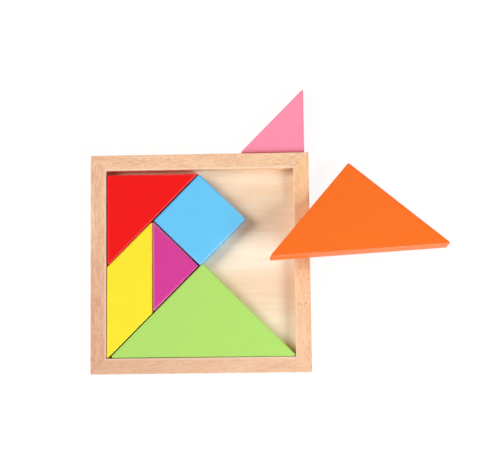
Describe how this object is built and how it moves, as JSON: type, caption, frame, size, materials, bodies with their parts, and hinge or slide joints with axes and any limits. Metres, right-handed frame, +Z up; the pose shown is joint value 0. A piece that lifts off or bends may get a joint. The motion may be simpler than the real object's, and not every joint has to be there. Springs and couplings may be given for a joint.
{
  "type": "tangram puzzle",
  "caption": "Tangram puzzle: painted wooden triangles, a square and a parallelogram that lie in a shallow mitred wooden tray and lift out of it to form figures.",
  "frame": {"origin": "middle of the tray's underside", "axes": "+Z up, +X to the right rail, on which the orange triangle leans, +Y to the back rail, behind which the pink triangle lies"},
  "size_m": [0.2459, 0.1948, 0.0332],
  "materials": {
    "beech": "satin",
    "plywood": "matte",
    "green_paint": "satin",
    "yellow_paint": "satin",
    "magenta_paint": "satin",
    "red_paint": "satin",
    "blue_paint": "satin",
    "pink_paint": "satin",
    "orange_paint": "satin"
  },
  "bodies": {
    "tray": {"rail_front": "beech", "rail_right": "beech", "rail_back": "beech", "rail_left": "beech", "floor_panel": "plywood"},
    "green_large_triangle": {"tan_green_large_triangle": "green_paint"},
    "yellow_parallelogram": {"tan_yellow_parallelogram": "yellow_paint"},
    "magenta_small_triangle": {"tan_magenta_small_triangle": "magenta_paint"},
    "red_medium_triangle": {"tan_red_medium_triangle": "red_paint"},
    "blue_square": {"tan_blue_square": "blue_paint"},
    "pink_small_triangle": {"tan_pink_small_triangle": "pink_paint"},
    "orange_large_triangle": {"tan_orange_large_triangle": "orange_paint"}
  },
  "joints": [
    {"name": "green_large_triangle_lift", "type": "slide", "parent": "tray", "child": "green_large_triangle", "axis": [0, 0, 1], "range_m": [0, 0.025]},
    {"name": "yellow_parallelogram_lift", "type": "slide", "parent": "tray", "child": "yellow_parallelogram", "axis": [0, 0, 1], "range_m": [0, 0.025]},
    {"name": "magenta_small_triangle_lift", "type": "slide", "parent": "tray", "child": "magenta_small_triangle", "axis": [0, 0, 1], "range_m": [0, 0.025]},
    {"name": "red_medium_triangle_lift", "type": "slide", "parent": "tray", "child": "red_medium_triangle", "axis": [0, 0, 1], "range_m": [0, 0.025]},
    {"name": "blue_square_lift", "type": "slide", "parent": "tray", "child": "blue_square", "axis": [0, 0, 1], "range_m": [0, 0.025]},
    {"name": "pink_small_triangle_lift", "type": "slide", "parent": "tray", "child": "pink_small_triangle", "axis": [0, 0, 1], "range_m": [0, 0.025]},
    {"name": "orange_large_triangle_lift", "type": "slide", "parent": "tray", "child": "orange_large_triangle", "axis": [0, 0, 1], "range_m": [0, 0.025]}
  ]
}
